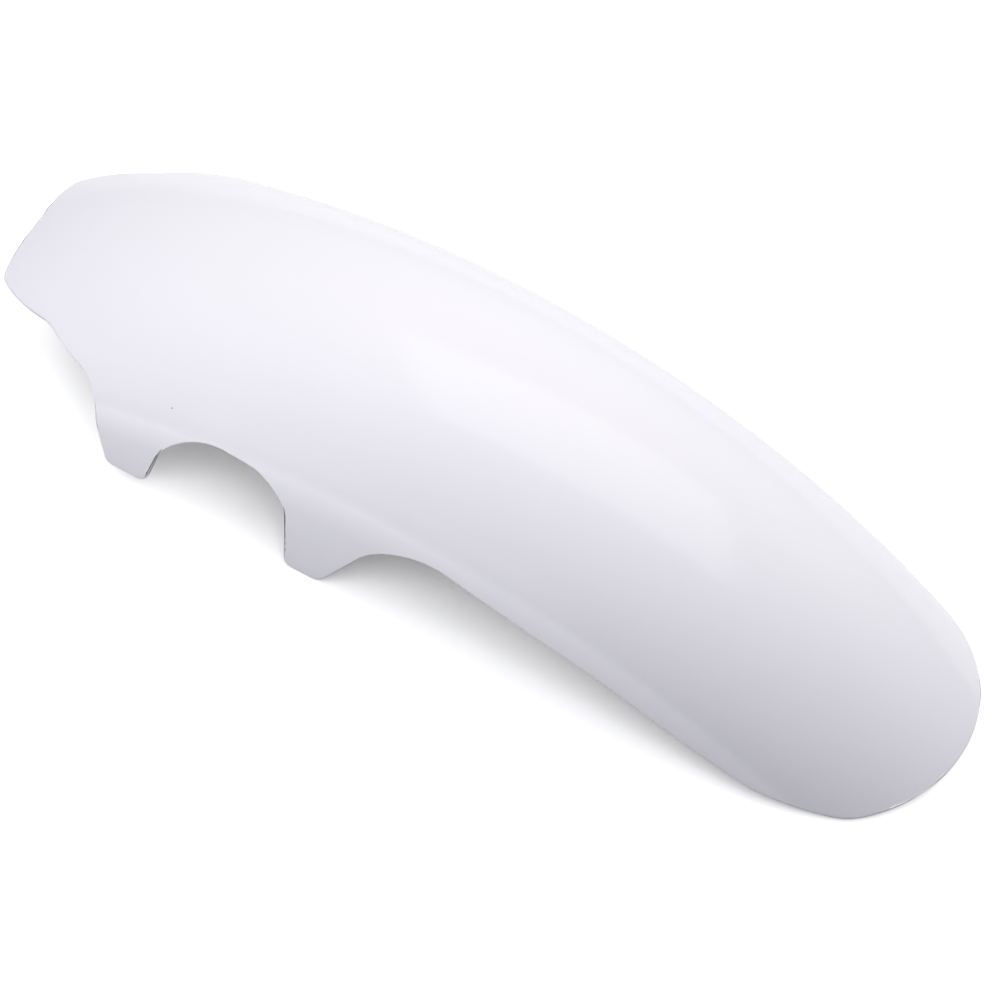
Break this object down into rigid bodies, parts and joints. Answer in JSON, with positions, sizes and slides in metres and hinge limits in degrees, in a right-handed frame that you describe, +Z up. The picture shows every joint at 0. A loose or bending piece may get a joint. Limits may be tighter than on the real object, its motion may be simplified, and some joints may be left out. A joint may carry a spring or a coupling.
{
  "type": "motorcycle mudguard",
  "caption": "Front motorcycle mudguard moulded in white glass fibre, a thin arched shell with a rounded nose and side tabs either side of a fork notch.",
  "frame": {"origin": "on the surface that the shell lies on, under the middle of its box", "axes": "+X forward along the shell to its long rounded nose, +Y across to its left side, +Z up"},
  "size_m": [0.415, 0.134, 0.0854],
  "materials": {
    "white_gelcoat": "glossy white gelcoat outside, bare glass-fibre laminate inside"
  },
  "bodies": {
    "root": {"mudguard_shell": "white_gelcoat"}
  },
  "joints": []
}
